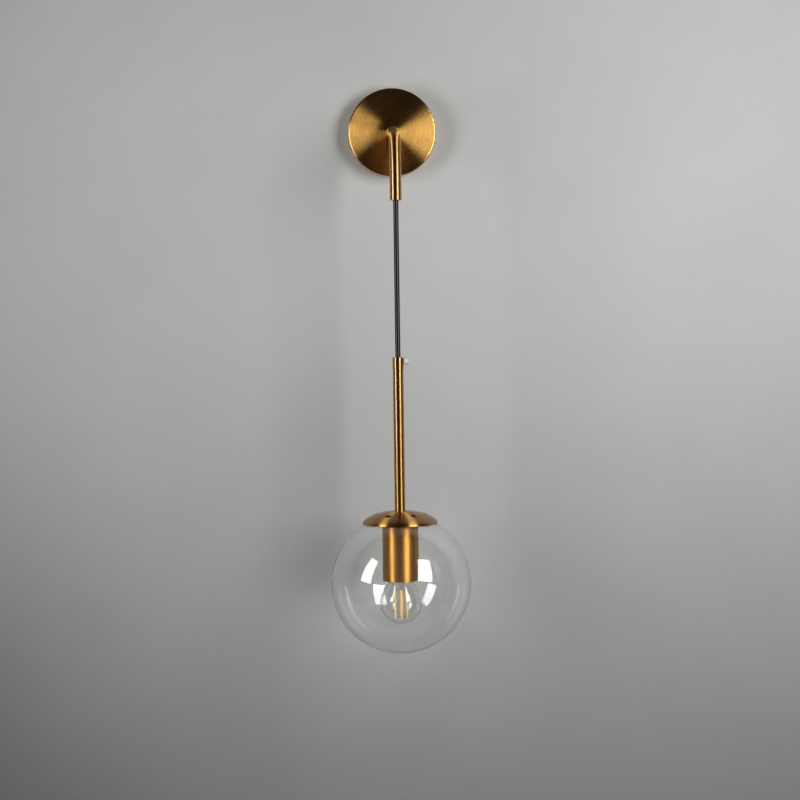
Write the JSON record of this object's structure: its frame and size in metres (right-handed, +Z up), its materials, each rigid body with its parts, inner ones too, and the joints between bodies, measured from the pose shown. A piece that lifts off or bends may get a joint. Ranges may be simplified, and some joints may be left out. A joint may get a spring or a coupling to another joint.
{
  "type": "globe wall sconce",
  "caption": "Wall light: a round brass canopy and bent arm hang a clear glass globe with a filament bulb from a taut cord, a rod and a vented dome cap.",
  "frame": {"origin": "centre of the canopy's footprint on the wall, midway between the two wall-screw slots", "axes": "+Z up, wall plane at y = 0, the light stands out towards -Y, +X to the right from the front"},
  "size_m": [0.15, 0.185, 0.6108],
  "materials": {
    "turned_brass": "turned brass with fine concentric rings, clear lacquered",
    "satin_brass": "satin brushed brass, clear lacquered",
    "plated_steel": "zinc-plated steel",
    "nickel": "nickel plated",
    "contact_brass": "plain brass",
    "white_plastic": "moulded nylon",
    "black_plastic": "moulded heat-proof plastic",
    "white_ceramic": null,
    "cord_sheath": "smooth black sheath with a soft gloss",
    "lead_insulation": "smooth brown insulation",
    "earth_insulation": "smooth green insulation",
    "clear_nylon": "translucent nylon",
    "globe_glass": "clear blown glass",
    "bulb_glass": "clear bulb glass",
    "black_glass": null,
    "solder": "solder",
    "filament": "yellow phosphor coating"
  },
  "bodies": {
    "root": {"wall_plate": "plated_steel", "canopy_cover": "turned_brass", "canopy_side_screws": "plated_steel", "arm_tube": "satin_brass", "arm_nipple": "plated_steel", "arm_washer": "plated_steel", "arm_lock_nut": "plated_steel", "terminal_block": "white_plastic", "terminal_block_screws": "plated_steel", "earth_screw": "plated_steel", "earth_tag": "plated_steel", "cord_leads": "lead_insulation", "earth_lead": "earth_insulation", "cord_in_arm": "cord_sheath"},
    "cord_swivel": {"cord_bend": "cord_sheath"},
    "pendant": {"cord": "cord_sheath", "cord_in_rod": "cord_sheath", "rod_collar": "satin_brass", "drop_rod": "satin_brass", "dome_cap": "turned_brass", "head_nipple": "plated_steel", "cap_washer": "plated_steel", "cap_lock_nut": "plated_steel", "globe_clip": "plated_steel", "lampholder_cup": "satin_brass", "cup_lock_nut": "plated_steel", "holder_top": "black_plastic", "holder_body": "black_plastic", "holder_core": "white_ceramic", "screw_shell": "nickel", "centre_contact": "contact_brass", "terminals": "contact_brass", "terminal_screws": "plated_steel", "holder_leads": "lead_insulation"},
    "grip_screw": {"grip_screw": "clear_nylon"},
    "globe": {"glass_globe": "globe_glass"},
    "bulb_advance": {"bulb_contact": "solder"},
    "bulb": {"bulb_glass": "bulb_glass", "bulb_cap": "nickel", "bulb_insulator": "black_glass", "bulb_stem": "bulb_glass", "filaments": "filament", "filament_supports": "nickel"}
  },
  "joints": [
    {"name": "swing_sideways", "type": "hinge", "parent": "root", "child": "cord_swivel", "pos_m": [0, -0.11, -0.0768], "axis": [0, 1, 0], "range_deg": [-20, 20]},
    {"name": "swing_outwards", "type": "hinge", "parent": "cord_swivel", "child": "pendant", "pos_m": [0, -0.11, -0.0768], "axis": [1, 0, 0], "range_deg": [-20, 4.5]},
    {"name": "grip_screw_out", "type": "slide", "parent": "pendant", "child": "grip_screw", "axis": [1, 0, 0], "range_m": [0, 0.003]},
    {"name": "globe_pull", "type": "slide", "parent": "pendant", "child": "globe", "axis": [0, 0, -1], "range_m": [0, 0.13], "deforming": ["globe_clip"]},
    {"name": "bulb_unscrew", "type": "slide", "parent": "pendant", "child": "bulb_advance", "axis": [0, 0, -1], "range_m": [0, 0.01991]},
    {"name": "bulb_turn", "type": "hinge", "parent": "bulb_advance", "child": "bulb", "pos_m": [0, -0.11, -0.508], "axis": [0, 0, -1], "range_deg": [0, 1980]}
  ],
  "couplings": [
    {"joint": "bulb_unscrew", "follows": "bulb_turn", "m_per_rad": 0.00057614}
  ]
}
